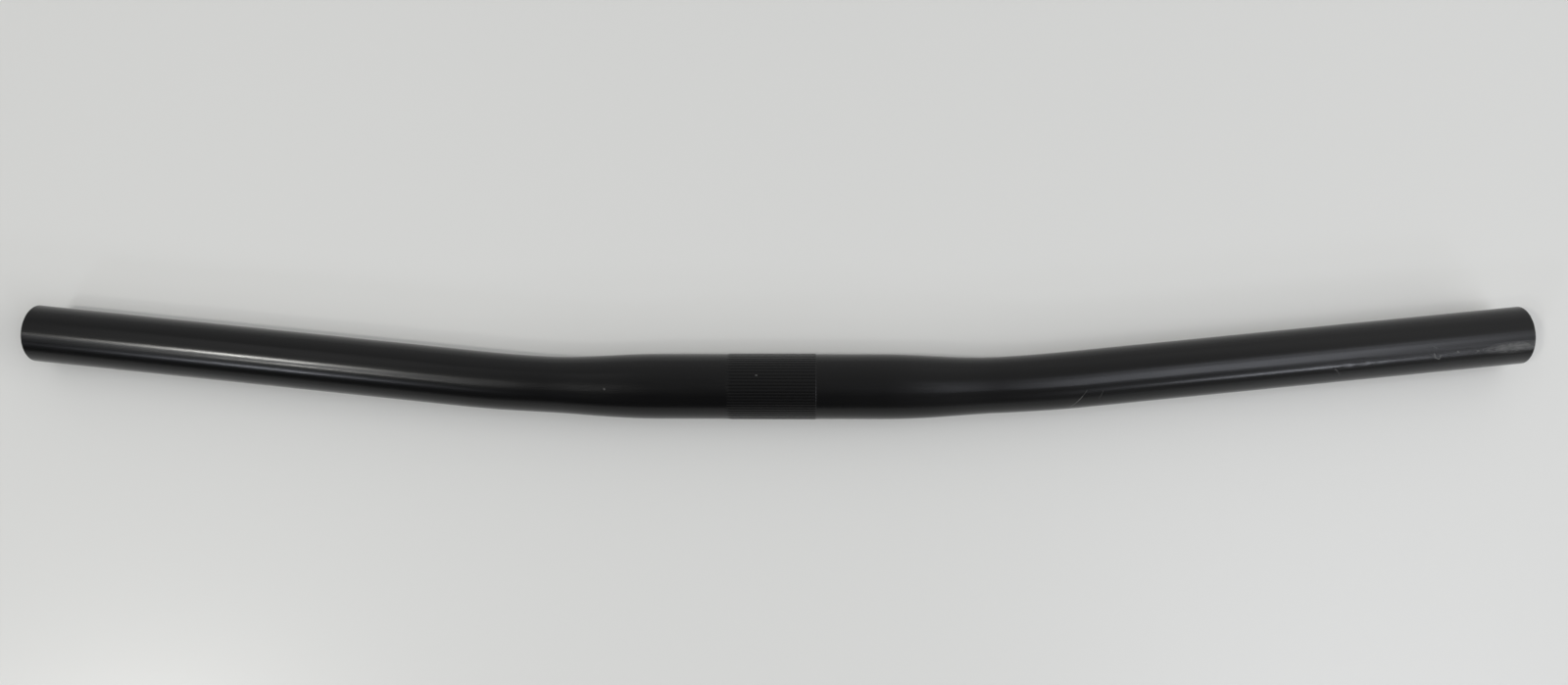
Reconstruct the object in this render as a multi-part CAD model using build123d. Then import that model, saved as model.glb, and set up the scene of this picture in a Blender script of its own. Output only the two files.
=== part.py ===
"""Flat handlebar: one swaged, bent and knurled aluminium tube, lying at rest.

The clamp section runs along X with its middle at the origin. The arms sweep
back towards +Y. Z is up. The knurl and both tips touch the surface below.
"""
from build123d import *
import os
from math import asin, cos, degrees, pi, radians, sin

# Overall form, in millimetres and degrees
TIP_TO_TIP = 582.0  # between the middles of the two open ends
SWEEP = 6.0  # how far each arm is bent back
BEND_START = 58.0  # distance from the middle to where the bend begins
BEND_RADIUS = 590.0

# Tube diameters
GRIP_DIAMETER = 22.2
CENTRE_DIAMETER = 25.3  # the plain metal each side of the knurl
TAPER_START = 43.0  # distances along the tube from the middle
TAPER_END = 86.5
BEND_FLATTENING = 0.019  # how much the tube narrows in the plane of the bend
BEND_BULGING = 0.009  # how much it grows across that plane
TAPER_SECTIONS = 13

# Bore: wider under the clamp, drawn down before the bend
GRIP_BORE = 18.2
CENTRE_BORE = 20.7

# Straight knurl that keeps the bar from turning in its clamp
KNURL_DIAMETER = 25.56
KNURL_DEPTH = 0.28
KNURL_RIDGES = 60
KNURL_LAND = 0.6  # width of the flat top of a ridge
KNURL_WIDTH = 35.0

# Deburred ends
RIM_CHAMFER = 0.5
BORE_CHAMFER = 0.3

# Lengths that follow from the driving ones
BEND_LENGTH = BEND_RADIUS * radians(SWEEP)
BEND_END = BEND_START + BEND_LENGTH
BEND_END_X = BEND_START + BEND_RADIUS * sin(radians(SWEEP))
BEND_END_Y = BEND_RADIUS * (1 - cos(radians(SWEEP)))
ARM_LENGTH = (TIP_TO_TIP / 2 - BEND_END_X) / cos(radians(SWEEP))
TIP_SETBACK = BEND_END_Y + ARM_LENGTH * sin(radians(SWEEP))
# The arms hang this far below level before their tips touch the surface
REST_TILT = degrees(asin((KNURL_DIAMETER - GRIP_DIAMETER) / 2 / TIP_SETBACK))


def ease(start, end, place):
    """Goes smoothly from 0 at start to 1 at end."""
    share = min(max((place - start) / (end - start), 0), 1)
    return share * share * (3 - 2 * share)


def tube_radius(place):
    """Outer radius of the round tube at a distance along it from the middle."""
    drop = (CENTRE_DIAMETER - GRIP_DIAMETER) / 2
    return CENTRE_DIAMETER / 2 - drop * ease(TAPER_START, TAPER_END, place)


def bend_strain(place):
    """How far the bend has squeezed the tube: 1 at the middle of the bend and 0 outside it."""
    if not BEND_START < place < BEND_END:
        return 0
    return sin(pi * (place - BEND_START) / BEND_LENGTH) ** 2


def centreline():
    """Middle line of the right half: straight, bent on a large radius, then straight again."""
    clamp = Line((0, 0), (BEND_START, 0))
    bend = JernArc(clamp @ 1, clamp % 1, BEND_RADIUS, SWEEP)
    arm = Line(bend @ 1, bend @ 1 + (bend % 1) * ARM_LENGTH)
    return [clamp, bend, arm]


def cross_plane(line, place):
    """Plane across the tube at a distance along its middle line."""
    wire = Wire(line)
    share = place / wire.length
    return Plane(origin=wire @ share, x_dir=(0, 0, 1), z_dir=wire % share)


def cross_section(line, place):
    """Outline across the tube: a circle, a little flattened in the bend."""
    radius = tube_radius(place)
    across = radius * (1 + BEND_BULGING * bend_strain(place))
    within = radius * (1 - BEND_FLATTENING * bend_strain(place))
    return cross_plane(line, place) * Ellipse(across, within)


def swaged_bend(line):
    """The stretch that is drawn down and bent, from the clamp section to the straight arm."""
    step = (BEND_END - TAPER_START) / (TAPER_SECTIONS - 1)
    return loft([cross_section(line, TAPER_START + step * number) for number in range(TAPER_SECTIONS)])


def straight_arm(line):
    """The straight stretch that carries the grip."""
    return extrude(cross_plane(line, BEND_END) * Circle(GRIP_DIAMETER / 2), ARM_LENGTH)


def arm_bore(line):
    """The bore from the start of the bend to the open end."""
    return sweep(cross_plane(line, BEND_START) * Circle(GRIP_BORE / 2), path=Wire(line[1:]))


def both_sides(right):
    """A right arm tilted until its tip touches the surface, and its mirror image."""
    tilted = Rot(X=-REST_TILT) * right
    return [tilted, mirror(tilted, about=Plane.YZ)]


def along_clamp(face, start, end):
    """Solid of a face drawn along the clamp axis."""
    return extrude(Plane.YZ.offset(start) * face, end - start)


def knurl_face():
    """Outline of the knurl: flat-topped ridges with V-shaped grooves between them."""
    crest = KNURL_DIAMETER / 2
    root = crest - KNURL_DEPTH
    pitch = 360 / KNURL_RIDGES
    half_land = degrees(KNURL_LAND / 2 / crest)
    outline = []
    for ridge in range(KNURL_RIDGES):
        middle = ridge * pitch
        outline += [(crest, middle - half_land), (crest, middle + half_land), (root, middle + pitch / 2)]
    return make_face(Polyline([Vector(radius, 0).rotate(Axis.Z, turn) for radius, turn in outline], close=True))


def clamp_section():
    """The straight middle of the tube: plain metal with the knurl let into it."""
    plain = Circle(CENTRE_DIAMETER / 2)
    left = along_clamp(plain, -TAPER_START, -KNURL_WIDTH / 2)
    knurl = along_clamp(knurl_face(), -KNURL_WIDTH / 2, KNURL_WIDTH / 2)
    right = along_clamp(plain, KNURL_WIDTH / 2, TAPER_START)
    return left + knurl + right


def clamp_bore():
    """The bore of the straight middle, with a cone down to the arm's bore at each end."""
    wide = CENTRE_BORE / 2
    narrow = GRIP_BORE / 2
    ends = [(-BEND_START, narrow), (-TAPER_START, wide), (TAPER_START, wide), (BEND_START, narrow)]
    half = make_face(Polyline([(-BEND_START, 0), *ends, (BEND_START, 0)], close=True))
    return revolve(half, Axis.X)


def deburr(bar):
    """Breaks the outer and the inner edge of each open end."""
    for end in (0, -1):
        rims = bar.faces().sort_by(Axis.X)[end].edges().sort_by(SortBy.LENGTH)
        bar = chamfer(rims[-1], RIM_CHAMFER)
        rims = bar.faces().sort_by(Axis.X)[end].edges().sort_by(SortBy.LENGTH)
        bar = chamfer(rims[0], BORE_CHAMFER)
    return bar


def handlebar():
    """The whole tube."""
    line = centreline()
    outside = clamp_section() + both_sides(swaged_bend(line) + straight_arm(line))
    hollow = clamp_bore() + both_sides(arm_bore(line))
    return deburr(outside - hollow)


os.makedirs("parts", exist_ok=True)
export_step(handlebar(), "parts/handlebar_tube.step")
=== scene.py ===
import random
from math import asin, atan2, ceil, cos, pi, radians, sin

import bpy
from mathutils import Euler, Matrix, Vector


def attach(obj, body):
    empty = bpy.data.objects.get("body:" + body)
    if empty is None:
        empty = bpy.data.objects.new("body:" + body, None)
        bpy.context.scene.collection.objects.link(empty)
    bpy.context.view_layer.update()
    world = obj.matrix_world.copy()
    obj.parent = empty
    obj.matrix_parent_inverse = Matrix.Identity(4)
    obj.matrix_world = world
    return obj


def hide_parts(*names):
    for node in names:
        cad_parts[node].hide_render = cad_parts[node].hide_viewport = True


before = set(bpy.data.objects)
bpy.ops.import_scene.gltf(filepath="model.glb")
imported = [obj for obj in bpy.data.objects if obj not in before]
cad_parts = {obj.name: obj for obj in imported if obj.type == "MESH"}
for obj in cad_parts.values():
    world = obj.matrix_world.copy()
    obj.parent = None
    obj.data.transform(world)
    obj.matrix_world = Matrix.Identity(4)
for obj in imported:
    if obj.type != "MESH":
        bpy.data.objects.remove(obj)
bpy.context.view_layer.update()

# A flat handlebar, satin black and a little worn, lies on a pale table under level lamp panels.
# Its skin is drawn anew from the dimensions of the CAD source, with the finer form of the knurl.

MM = 0.001  # lengths are in metres, apart from those that a comment gives in mm

# The bar's own dimensions, the same as in the CAD source
TIP_TO_TIP = 582.0 * MM
SWEEP = radians(6.0)
BEND_START = 58.0 * MM
BEND_RADIUS = 590.0 * MM
GRIP_RADIUS = 11.1 * MM
CENTRE_RADIUS = 12.65 * MM
TAPER_START = 43.0 * MM
TAPER_END = 86.5 * MM
BEND_FLATTENING = 0.019
BEND_BULGING = 0.009
GRIP_BORE_RADIUS = 9.1 * MM
CENTRE_BORE_RADIUS = 10.35 * MM
KNURL_CREST = 12.78 * MM
KNURL_DEPTH = 0.28 * MM
KNURL_RIDGES = 60
KNURL_START = -17.5 * MM
KNURL_END = 17.5 * MM
RIM_ROUNDING = 0.5 * MM
BORE_ROUNDING = 0.3 * MM

SKIN_GAP = 0.004 * MM  # how far the drawn skin stays inside the solid at its outermost places

# Lengths that follow from them
BEND_END = BEND_START + BEND_RADIUS * SWEEP
BEND_END_X = BEND_START + BEND_RADIUS * sin(SWEEP)
BEND_END_Y = BEND_RADIUS * (1 - cos(SWEEP))
ARM_LENGTH = (TIP_TO_TIP / 2 - BEND_END_X) / cos(SWEEP)
TIP = BEND_END + ARM_LENGTH - SKIN_GAP
TIP_SETBACK = BEND_END_Y + ARM_LENGTH * sin(SWEEP)
REST_TILT = asin((KNURL_CREST - GRIP_RADIUS) / TIP_SETBACK)
TABLE_HEIGHT = -KNURL_CREST

# One ridge of the knurl, as (share of the pitch from its middle, share of the height)
RIDGE_OUTLINE = [
    (-0.5, 0.35),
    (-0.45, 0.5),
    (-0.39, 0.9),
    (-0.33, 1.0),
    (0.0, 1.0),
    (0.33, 1.0),
    (0.39, 0.9),
    (0.45, 0.5),
]
RIDGE_TOP = KNURL_CREST - SKIN_GAP
RIDGE_UNEVENNESS = 0.06  # share of the depth by which ridges differ
RIDGE_SEED = 7  # gives each ridge the same small difference all along the knurl
KNURL_FADE = 2.2 * MM  # over which the ridges run out at their left ends
KNURL_FADE_JITTER = 0.6 * MM  # by which their left ends differ
KNURL_SHOULDER = 0.12 * MM  # the sharp step at their right ends

# How finely the tube is drawn
AROUND = KNURL_RIDGES * len(RIDGE_OUTLINE)
BEND_STEP = 2.0 * MM
ARM_STEP = 20.0 * MM
BORE_BEND_STEP = 5.0 * MM
STEP_SLACK = 0.01  # share of a step that may be left over before one more is taken
RIM_STEPS = 4
RIM_SQUARENESS = 1.5  # 1 is a straight chamfer and 2 a round edge
SUPPORT = 0.06 * MM  # between an edge and the ring that keeps it crisp

# Scratches: two ends as (distance along the bar in mm, degrees from the top), width in mm and strength
SCRATCHES = [
    ((114.2, -79), (118.4, -46), 0.13, 1.0),
    ((118.4, -46), (120.0, -33), 0.12, 0.3),
    ((124.8, -57), (126.2, -38), 0.12, 0.3),
    ((215.3, -42), (216.3, -47), 0.35, 0.3),
    ((216.3, -47), (217.6, -57), 0.25, 0.2),
    ((252.0, -13), (254.0, -19), 0.25, 0.15),
    ((253.0, -30), (253.7, -39), 0.30, 0.6),
    ((253.7, -39), (255.2, -42), 0.30, 0.6),
    ((255.2, -42), (255.6, -34), 0.30, 0.5),
    ((262.0, -30), (262.2, -31), 0.45, 0.6),
    ((269.7, -32), (270.0, -33), 0.45, 0.5),
    ((-63.3, -15), (-63.1, -16), 0.35, 0.5),
    ((-5.5, 9.5), (-5.1, 9.6), 0.25, 0.7),
]

# Worn patches: middle as in the scratches, then half the length and half the width in mm
DENTED = ((222, -35), (13, 2.5))
SCUFFED = ((284, -33), (13, 2.7))
PATCH_CORE = 0.4  # share of a patch, from its middle, that is at full strength
DENT_DEPTH = 0.08 * MM
SCUFF_STRENGTH = 0.75
SCUFF_NOISE = (0.35, 0.7)  # the noise values at which a scuff is faintest and strongest
FAINTEST_SCUFF = 0.35

# Noise textures: scale per metre, detail, and how much each direction counts, the tube's length first
SHEEN_GRAIN = (2500, 3, (0.03, 1, 1))
SHEEN_PATCHES = (60, 3, (0.4, 1, 1))
RELIEF_GRAIN = (800, 2, (0.3, 1, 1))
DENTS = (500, 1, (0.5, 1, 1))
SCUFFS = (1000, 2, (0.35, 1, 1))
BORE_GRAIN = (900, 3, (0.05, 1, 1))
NOISE_RANGE = (0.3, 0.7)  # where most values of a noise texture lie

# The finish of the outside and of the bore. Each pair is a range that a noise texture runs over.
BAR_COLOUR = (0.003, 0.003, 0.0031, 1)
WORN_COLOUR = (0.12, 0.12, 0.115, 1)
BAR_ROUGHNESS = (0.20, 0.24)
GRAIN_ROUGHNESS = (-0.02, 0.02)  # what the lengthwise grain adds
WORN_ROUGHNESS = 0.25  # what full wear adds
BAR_IOR = 1.39
GRAIN_HEIGHT = 0.006 * MM
BORE_COLOUR = (0.012, 0.012, 0.0125, 1)
BORE_ROUGHNESS = (0.42, 0.55)

TABLE_REACH = 4.0  # from its middle to each side
TABLE_COLOUR = (0.695, 0.695, 0.673, 1)
TABLE_ROUGHNESS = 0.29
TABLE_SPECULAR = 0.4

# The room's light grows as a direction points more to the back and more to the right. Each row gives
# the parts of the direction between which it grows, then the strengths that it has there.
ROOM_TOWARDS_BACK = (-0.7, 0.9, 0.05, 0.50)
ROOM_TOWARDS_RIGHT = (0.0, 0.9, 0.0, 0.54)

# The lamp panels hang level above the table. Most of them lie where the bar mirrors them as the
# photo's highlights, and the wide ones also even out the light on the table.
PANEL_HEIGHT = 2.5
PANEL_ENERGY = 4  # energy that gives a square metre of panel a radiance of 1
WHITE = (1.0, 1.0, 1.0)
WARM = (1.0, 0.99, 0.95)
COOL = (0.88, 0.91, 1.0)
# Both ends of a panel's middle line in metres, its width in metres, its radiance and its colour
PANELS = {
    "left_core": ((-1.61, -0.548), (-1.41, -0.555), 0.12, 180, WARM),
    "left_second": ((-1.69, -1.325), (-1.45, -1.357), 0.19, 43, WARM),
    "left_low": ((-2.69, -3.47), (-2.47, -3.40), 0.55, 47, COOL),
    "left_middle": ((-2.13, -0.90), (-1.12, -1.00), 0.36, 1.9, COOL),
    "left_between": ((-2.57, -1.98), (-1.75, -2.06), 1.1, 0.6, COOL),
    "left_glow": ((-1.86, 0.95), (-0.89, 0.85), 1.9, 0.35, WHITE),
    "right_band_top": ((0.68, 0.06), (1.57, 0.17), 0.5, 1.3, COOL),
    "right_band": ((0.80, -0.90), (1.74, -0.80), 1.3, 2.8, COOL),
    "right_band_low": ((1.52, -1.70), (2.07, -1.65), 0.5, 1.4, COOL),
    "right_end_top": ((1.61, -0.14), (1.83, -0.11), 1.1, 1.3, COOL),
    "right_end": ((1.84, -1.04), (2.08, -1.02), 0.7, 0.7, COOL),
    "right_end_low": ((2.09, -1.70), (2.36, -1.67), 0.6, 2.3, COOL),
    "right_fill": ((2.0, -2.66), (2.6, -2.60), 1.1, 0.8, COOL),
    "right_thin_start": ((2.46, -4.58), (2.79, -4.55), 0.95, 10.5, COOL),
    "right_thin": ((2.79, -4.55), (3.16, -4.52), 0.95, 20, COOL),
    "right_tip": ((3.06, -3.11), (3.26, -3.09), 1.7, 8, COOL),
    "right_tip_low": ((4.48, -5.33), (4.76, -5.31), 2.5, 4.5, COOL),
    "right_glow": ((1.09, 1.86), (1.92, 1.95), 5.3, 0.15, WHITE),
    "right_far": ((3.4, -1.0), (6.4, -1.0), 4.4, 3.7, WHITE),
}

# The camera stands in front of the bar and looks almost straight down
CAMERA_PLACE = (13.9 * MM, -87.3 * MM, 499.55 * MM)
CAMERA_TILT = radians(7.517)
CAMERA_LEAN = radians(0.999)
CAMERA_ROLL = radians(0.285)
CAMERA_LENS = 29.9  # focal length in mm
CAMERA_SENSOR = 36  # width in mm
PHOTO_WIDTH = 1600
PHOTO_HEIGHT = 699
PRINCIPAL_ROW = 450  # the row of the photo that the lens looks at, because the photo is cropped


def ease(start, end, place):
    """Goes smoothly from 0 at start to 1 at end."""
    share = min(max((place - start) / (end - start), 0), 1)
    return share * share * (3 - 2 * share)


def evenly(start, end, longest):
    """Places from start to end, both included, no further apart than about the longest step."""
    count = max(1, ceil(abs(end - start) / longest - STEP_SLACK))
    return [start + (end - start) * number / count for number in range(count + 1)]


def tube_radius(place):
    """Outer radius at a signed distance along the middle line."""
    return CENTRE_RADIUS - (CENTRE_RADIUS - GRIP_RADIUS) * ease(TAPER_START, TAPER_END, abs(place))


def bore_radius(place):
    """Inner radius: wide under the clamp, then a cone, then narrow to the end."""
    share = min(max((abs(place) - TAPER_START) / (BEND_START - TAPER_START), 0), 1)
    return CENTRE_BORE_RADIUS + (GRIP_BORE_RADIUS - CENTRE_BORE_RADIUS) * share


def bend_strain(place):
    """How far the bend has squeezed the tube: 1 at the middle of the bend and 0 outside it."""
    if not BEND_START < abs(place) < BEND_END:
        return 0
    return sin(pi * (abs(place) - BEND_START) / (BEND_END - BEND_START)) ** 2


def cross_frame(place):
    """Middle point of the tube at a signed distance along it, and its two cross directions."""
    side = -1 if place < 0 else 1
    turn = min(max(abs(place) - BEND_START, 0) / BEND_RADIUS, SWEEP)
    straight = max(abs(place) - BEND_END, 0)
    outward = min(abs(place), BEND_START) + BEND_RADIUS * sin(turn) + straight * cos(SWEEP)
    backward = BEND_RADIUS * (1 - cos(turn)) + straight * sin(SWEEP)
    tilt = Matrix.Rotation(-REST_TILT, 3, "X")
    centre = tilt @ Vector((side * outward, backward, 0))
    sideways = tilt @ Vector((-side * sin(turn), cos(turn), 0))
    upward = tilt @ Vector((0, 0, 1))
    return centre, sideways, upward


def ring_angles():
    """Angles of a ring's points from +Y towards +Z, several to each ridge of the knurl."""
    pitch = 2 * pi / KNURL_RIDGES
    return [(ridge + share) * pitch for ridge in range(KNURL_RIDGES) for share, _ in RIDGE_OUTLINE]


def ring(place, radii, strain=0):
    """Points of one ring round the tube, and the same points as if the tube were straight."""
    centre, sideways, upward = cross_frame(place)
    points = []
    unbent = []
    for angle, radius in zip(ring_angles(), radii):
        turned = angle + REST_TILT
        within = radius * (1 - BEND_FLATTENING * strain) * cos(turned)
        across = radius * (1 + BEND_BULGING * strain) * sin(turned)
        points.append(centre + within * sideways + across * upward)
        unbent.append(Vector((place, radius * cos(angle), radius * sin(angle))))
    return points, unbent


def plain_ring(place, radius, strain=0):
    """A smooth ring."""
    return ring(place, [radius] * AROUND, strain)


def outside_rings(places):
    """Smooth rings on the tube's outside, flattened where it is bent."""
    return [plain_ring(place, tube_radius(place), bend_strain(place)) for place in places]


def knurled_ring(place):
    """A ring of ridges, each a little different, which run out one by one at their left ends."""
    chance = random.Random(RIDGE_SEED)
    radii = []
    for _ in range(KNURL_RIDGES):
        depth = KNURL_DEPTH * (1 - chance.uniform(0, RIDGE_UNEVENNESS))
        start = KNURL_START + chance.uniform(0, KNURL_FADE_JITTER)
        strength = ease(start, start + KNURL_FADE, place)
        for _, height in RIDGE_OUTLINE:
            ridged = RIDGE_TOP - depth * (1 - height)
            radii.append(CENTRE_RADIUS + (ridged - CENTRE_RADIUS) * strength)
    return ring(place, radii)


def edge_steps(rounding):
    """Steps over a rounded edge, as (distance from the face, distance from the wall)."""
    power = 2 / RIM_SQUARENESS
    angles = [number / RIM_STEPS * pi / 2 for number in range(RIM_STEPS + 1)]
    return [(rounding * (1 - cos(angle) ** power), rounding * (1 - sin(angle) ** power)) for angle in angles]


def rim(side, wall, rounding, face):
    """Rings from the flat face of an open end over its edge to a wall of the given radius.

    The face lies outside the wall where face is 1, and inside it where face is -1.
    """
    rings = [plain_ring(side * TIP, wall + face * rounding + face * SUPPORT)]
    for inward, off_wall in edge_steps(rounding):
        rings.append(plain_ring(side * (TIP - inward), wall + face * off_wall))
    rings.append(plain_ring(side * (TIP - rounding - SUPPORT), wall))
    return rings


def outer_rim(side):
    """Rings over the outer edge of one open end."""
    return rim(side, GRIP_RADIUS, RIM_ROUNDING, -1)


def inner_rim(side):
    """Rings over the inner edge of one open end."""
    return rim(side, GRIP_BORE_RADIUS, BORE_ROUNDING, 1)


def outer_arm(side):
    """Rings of one arm's outside, from beside the rim to the start of the taper."""
    places = evenly(TIP - RIM_ROUNDING - ARM_STEP / 4, BEND_END, ARM_STEP)
    places += evenly(BEND_END, TAPER_START, BEND_STEP)[1:]
    return outside_rings([side * place for place in places])


def knurl_rings():
    """Rings of the knurl, from its left end to its right end."""
    fade_end = KNURL_START + KNURL_FADE + KNURL_FADE_JITTER
    places = evenly(KNURL_START, fade_end, KNURL_FADE_JITTER / 2)
    places += evenly(fade_end, KNURL_END - KNURL_SHOULDER - SUPPORT, ARM_STEP / 4)[1:]
    places.append(KNURL_END - KNURL_SHOULDER)
    return [knurled_ring(place) for place in places]


def clamp_rings():
    """Rings of the straight middle between the two tapers."""
    left = [KNURL_START - ARM_STEP / 2, KNURL_START - SUPPORT]
    right = [KNURL_END, KNURL_END + SUPPORT, KNURL_END + ARM_STEP / 2]
    return outside_rings(left) + knurl_rings() + outside_rings(right)


def bore_rings():
    """Rings of the bore, from the right end to the left."""
    arm = evenly(TIP - BORE_ROUNDING - ARM_STEP / 4, BEND_END, 2 * ARM_STEP)
    bend = evenly(BEND_END, BEND_START, BORE_BEND_STEP)[1:]
    cone = [BEND_START - SUPPORT, TAPER_START + SUPPORT, TAPER_START]
    half = arm + bend + cone
    places = half + [-place for place in reversed(half)]
    return [plain_ring(place, bore_radius(place)) for place in places]


def all_rings():
    """Every ring in order: along the outside from left to right, and back through the bore."""
    outside = outer_rim(-1) + outer_arm(-1) + clamp_rings() + outer_arm(1)[::-1] + outer_rim(1)[::-1]
    inside = inner_rim(1) + bore_rings() + inner_rim(-1)[::-1]
    return outside, inside


def skin_faces(ring_count):
    """Faces between each ring and the next, and from the last ring back to the first."""
    faces = []
    for first in range(ring_count):
        second = (first + 1) % ring_count
        for corner in range(AROUND):
            after = (corner + 1) % AROUND
            faces.append((first * AROUND + corner, second * AROUND + corner,
                          second * AROUND + after, first * AROUND + after))
    return faces


def body_mesh():
    """The tube as one closed skin. Faces of the bore take the second material."""
    outside, inside = all_rings()
    rings = outside + inside
    faces = skin_faces(len(rings))
    mesh = bpy.data.meshes.new("handlebar_body")
    mesh.from_pydata([point for points, _ in rings for point in points], [], faces)
    mesh.polygons.foreach_set("use_smooth", [True] * len(faces))
    # The first strip of the inside and the last two lie on the flat ends
    bore_faces = range((len(outside) + 1) * AROUND, (len(rings) - 2) * AROUND)
    mesh.polygons.foreach_set("material_index", [int(number in bore_faces) for number in range(len(faces))])
    straightened = [value for _, unbent in rings for point in unbent for value in point]
    mesh.attributes.new("unbent", "FLOAT_VECTOR", "POINT").data.foreach_set("vector", straightened)
    mesh.update()
    return mesh


class Nodes:
    """Short helpers for building the nodes of a material or of the world."""

    def __init__(self, owner):
        owner.use_nodes = True
        self.tree = owner.node_tree
        self.shader = self.tree.nodes.get("Principled BSDF") or self.tree.nodes.get("Background")

    def feed(self, socket, value):
        """Links a socket to another node's output, or sets its value."""
        if isinstance(value, bpy.types.NodeSocket):
            self.tree.links.new(value, socket)
        else:
            socket.default_value = value

    def feed_all(self, node, inputs):
        """Links or sets a node's inputs by name, with underscores for spaces."""
        for name, value in inputs.items():
            self.feed(node.inputs[name.replace("_", " ")], value)

    def shade(self, **inputs):
        """Links or sets inputs of the shader."""
        self.feed_all(self.shader, inputs)

    def add(self, kind, settings=None, **inputs):
        """Adds a node, sets its properties, and links or sets its inputs."""
        node = self.tree.nodes.new(kind)
        for name, value in (settings or {}).items():
            setattr(node, name, value)
        self.feed_all(node, inputs)
        return node

    def math(self, operation, *values):
        """A number worked out from two others."""
        node = self.add("ShaderNodeMath", {"operation": operation})
        for socket, value in zip(node.inputs, values):
            self.feed(socket, value)
        return node.outputs[0]

    def vector(self, operation, *values, output="Vector"):
        """A vector, or a number, worked out from one or two vectors."""
        node = self.add("ShaderNodeVectorMath", {"operation": operation})
        for socket, value in zip(node.inputs, values):
            self.feed(socket, value)
        return node.outputs[output]

    def span(self, value, low, high, new_low, new_high):
        """A number moved from one range to another, and held inside it."""
        node = self.add("ShaderNodeMapRange")
        for socket, number in zip(node.inputs, (value, low, high, new_low, new_high)):
            self.feed(socket, number)
        return node.outputs[0]

    def noise(self, vector, scale, detail, stretch):
        """Soft noise, about 0.5 on average, in a stretched space."""
        mapping = self.add("ShaderNodeMapping", Vector=vector, Scale=stretch)
        node = self.add("ShaderNodeTexNoise", Vector=mapping.outputs[0], Scale=scale, Detail=detail)
        return node.outputs[0]


def unbent_place(nodes):
    """A point's place as if the tube were straight."""
    return nodes.add("ShaderNodeAttribute", {"attribute_name": "unbent"}).outputs["Vector"]


def flat_place(nodes, unbent):
    """A point's place on the unrolled surface: along the tube, and round it from the top."""
    parts = nodes.add("ShaderNodeSeparateXYZ", Vector=unbent).outputs
    around = nodes.math("MULTIPLY", nodes.math("ARCTAN2", parts["Y"], parts["Z"]), GRIP_RADIUS)
    return nodes.add("ShaderNodeCombineXYZ", X=parts["X"], Y=around).outputs[0]


def flat_point(along, angle):
    """The flat place of a point that is given in mm along the tube and degrees from the top towards +Y."""
    return Vector((along * MM, radians(angle) * GRIP_RADIUS, 0))


def scratch_mask(nodes, flat, start, end, width):
    """1 on a straight scratch between two places and 0 away from it."""
    first = flat_point(*start)
    run = flat_point(*end) - first
    offset = nodes.vector("SUBTRACT", flat, first)
    share = nodes.math("DIVIDE", nodes.vector("DOT_PRODUCT", offset, run, output="Value"), run.length_squared)
    share = nodes.span(share, 0, 1, 0, 1)
    nearest = nodes.add("ShaderNodeVectorMath", {"operation": "SCALE"}, Vector=run, Scale=share).outputs[0]
    gap = nodes.vector("LENGTH", nodes.vector("SUBTRACT", offset, nearest), output="Value")
    return nodes.span(gap, width * MM / 2, width * MM, 1, 0)


def scratches_mask(nodes, flat):
    """All the scratches, each as strong as it shows in the photo."""
    total = 0.0
    for start, end, width, strength in SCRATCHES:
        mask = scratch_mask(nodes, flat, start, end, width)
        total = nodes.math("MAXIMUM", nodes.math("MULTIPLY", mask, strength), total)
    return total


def soft_patch(nodes, flat, patch):
    """1 in the middle of an oval patch and 0 outside it."""
    middle, (half_length, half_width) = patch
    offset = nodes.vector("SUBTRACT", flat, flat_point(*middle))
    shrunk = nodes.vector("MULTIPLY", offset, Vector((1 / (half_length * MM), 1 / (half_width * MM), 1)))
    return nodes.span(nodes.vector("LENGTH", shrunk, output="Value"), PATCH_CORE, 1, 1, 0)


def scuff_mask(nodes, unbent, flat):
    """Small rubbed spots in the scuffed patch."""
    spots = nodes.span(nodes.noise(unbent, *SCUFFS), *SCUFF_NOISE, FAINTEST_SCUFF, 1)
    scuffs = nodes.math("MULTIPLY", spots, soft_patch(nodes, flat, SCUFFED))
    return nodes.math("MULTIPLY", scuffs, SCUFF_STRENGTH)


def surface_relief(nodes, unbent, flat):
    """Fine grain drawn out along the tube, and shallow dents in the dented patch."""
    grain = nodes.math("MULTIPLY", nodes.noise(unbent, *RELIEF_GRAIN), GRAIN_HEIGHT)
    dents = nodes.math("MULTIPLY", nodes.noise(unbent, *DENTS), DENT_DEPTH)
    dents = nodes.math("MULTIPLY", dents, soft_patch(nodes, flat, DENTED))
    return nodes.add("ShaderNodeBump", Height=nodes.math("ADD", grain, dents), Distance=1.0).outputs[0]


def satin_roughness(nodes, unbent, wear):
    """Roughness that changes softly along the bar and with its grain, and rises with wear."""
    grain = nodes.span(nodes.noise(unbent, *SHEEN_GRAIN), *NOISE_RANGE, *GRAIN_ROUGHNESS)
    patches = nodes.span(nodes.noise(unbent, *SHEEN_PATCHES), *NOISE_RANGE, *BAR_ROUGHNESS)
    rise = nodes.math("MULTIPLY", wear, WORN_ROUGHNESS)
    return nodes.math("ADD", nodes.math("ADD", grain, patches), rise)


def satin_black():
    """Satin black finish with a fine lengthwise grain and the photo's few scratches and rubbed spots."""
    material = bpy.data.materials.new("satin_black")
    nodes = Nodes(material)
    unbent = unbent_place(nodes)
    flat = flat_place(nodes, unbent)
    wear = nodes.math("MAXIMUM", scratches_mask(nodes, flat), scuff_mask(nodes, unbent, flat))
    colour = nodes.add("ShaderNodeMix", {"data_type": "RGBA"}, Factor=wear, A=BAR_COLOUR, B=WORN_COLOUR)
    roughness = satin_roughness(nodes, unbent, wear)
    relief = surface_relief(nodes, unbent, flat)
    nodes.shade(Base_Color=colour.outputs["Result"], Roughness=roughness, Normal=relief, IOR=BAR_IOR)
    return material


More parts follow.
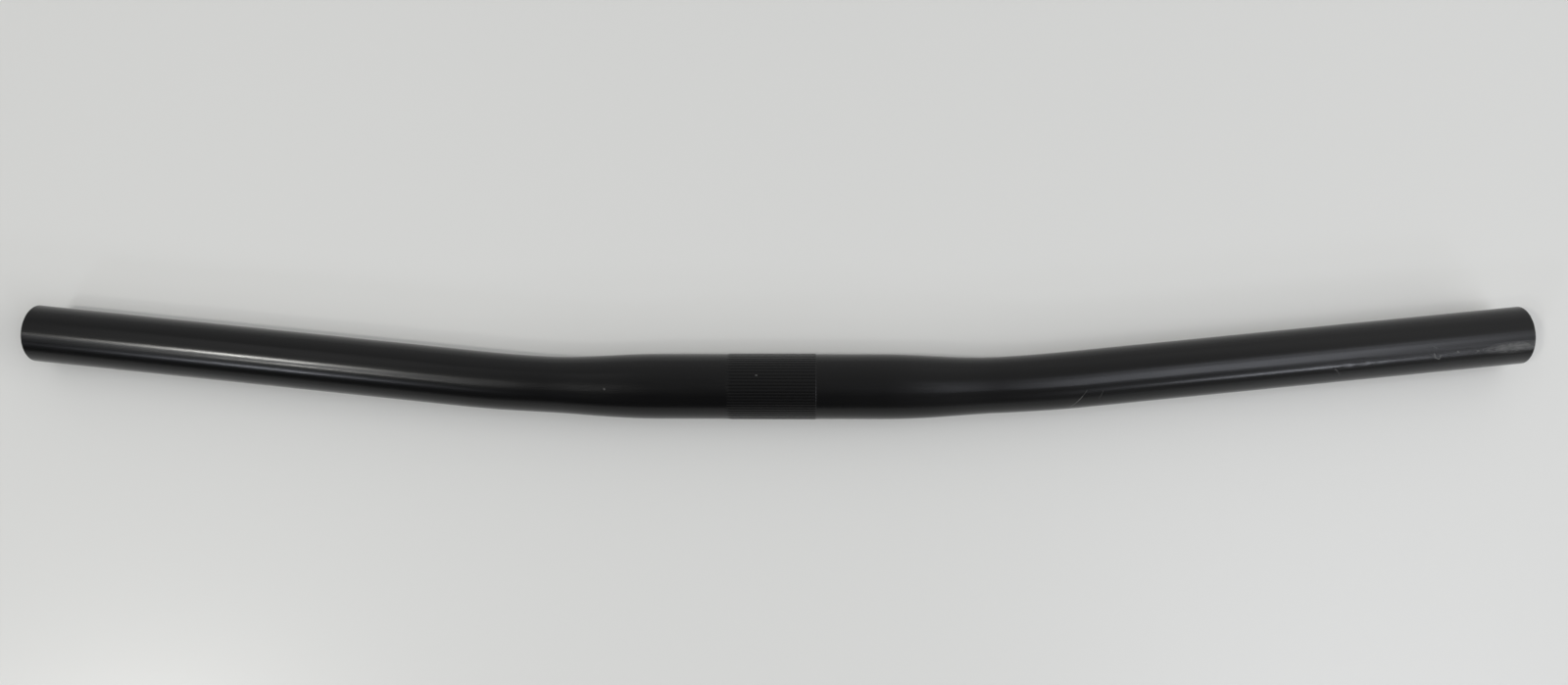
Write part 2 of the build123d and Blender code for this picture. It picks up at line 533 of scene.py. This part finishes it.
def bore_black():
    """The black inside the tube, a little lighter and rougher than the outside."""
    material = bpy.data.materials.new("bore_black")
    nodes = Nodes(material)
    grain = nodes.noise(unbent_place(nodes), *BORE_GRAIN)
    nodes.shade(Base_Color=BORE_COLOUR, Roughness=nodes.span(grain, *NOISE_RANGE, *BORE_ROUGHNESS))
    return material


def add_object(name, data):
    """A new object in the scene for a mesh, a lamp or a camera."""
    thing = bpy.data.objects.new(name, data)
    bpy.context.scene.collection.objects.link(thing)
    return thing


def handlebar():
    """The finished bar, in place of the CAD solid."""
    mesh = body_mesh()
    mesh.materials.append(satin_black())
    mesh.materials.append(bore_black())
    bar = add_object("handlebar_body", mesh)
    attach(bar, "root")
    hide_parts("handlebar_tube")


def table():
    """The pale table top that the bar lies on."""
    sides = [(-1, -1), (1, -1), (1, 1), (-1, 1)]
    corners = [(x * TABLE_REACH, y * TABLE_REACH, TABLE_HEIGHT) for x, y in sides]
    mesh = bpy.data.meshes.new("table")
    mesh.from_pydata(corners, [], [(0, 1, 2, 3)])
    material = bpy.data.materials.new("table_top")
    nodes = Nodes(material)
    nodes.shade(Base_Color=TABLE_COLOUR, Roughness=TABLE_ROUGHNESS, Specular_IOR_Level=TABLE_SPECULAR)
    mesh.materials.append(material)
    top = add_object("table", mesh)


def panel(name, start, end, width, radiance, colour):
    """A level lamp panel above the table. Its middle line runs from start to end."""
    run = Vector(end) - Vector(start)
    middle = (Vector(start) + Vector(end)) / 2
    lamp = bpy.data.lights.new(name, "AREA")
    lamp.shape = "RECTANGLE"
    lamp.size = run.length
    lamp.size_y = width
    lamp.energy = PANEL_ENERGY * radiance * lamp.size * width
    lamp.color = colour
    holder = add_object(name, lamp)
    holder.location = (*middle, PANEL_HEIGHT)
    holder.rotation_euler.z = atan2(run.y, run.x)


def room():
    """Soft light from all round, brighter from behind the bar and from the right."""
    world = bpy.data.worlds.new("room")
    nodes = Nodes(world)
    direction = nodes.add("ShaderNodeTexCoord").outputs["Generated"]
    parts = nodes.add("ShaderNodeSeparateXYZ", Vector=direction).outputs
    behind = nodes.span(parts["Y"], *ROOM_TOWARDS_BACK)
    right = nodes.span(parts["X"], *ROOM_TOWARDS_RIGHT)
    nodes.shade(Color=(*WHITE, 1), Strength=nodes.math("ADD", behind, right))
    bpy.context.scene.world = world


def camera():
    """The camera, at the photo's place and angle."""
    data = bpy.data.cameras.new("camera")
    data.sensor_fit = "HORIZONTAL"
    data.sensor_width = CAMERA_SENSOR
    data.lens = CAMERA_LENS
    data.shift_y = (PRINCIPAL_ROW - PHOTO_HEIGHT / 2) / PHOTO_WIDTH
    holder = add_object("camera", data)
    holder.location = CAMERA_PLACE
    holder.rotation_euler = Euler((CAMERA_TILT, CAMERA_LEAN, CAMERA_ROLL), "ZXY").to_matrix().to_euler()
    bpy.context.scene.camera = holder


bpy.context.scene.view_settings.view_transform = "Standard"
handlebar()
table()
room()
for panel_name, panel_form in PANELS.items():
    panel(panel_name, *panel_form)
camera()

bpy.context.view_layer.update()
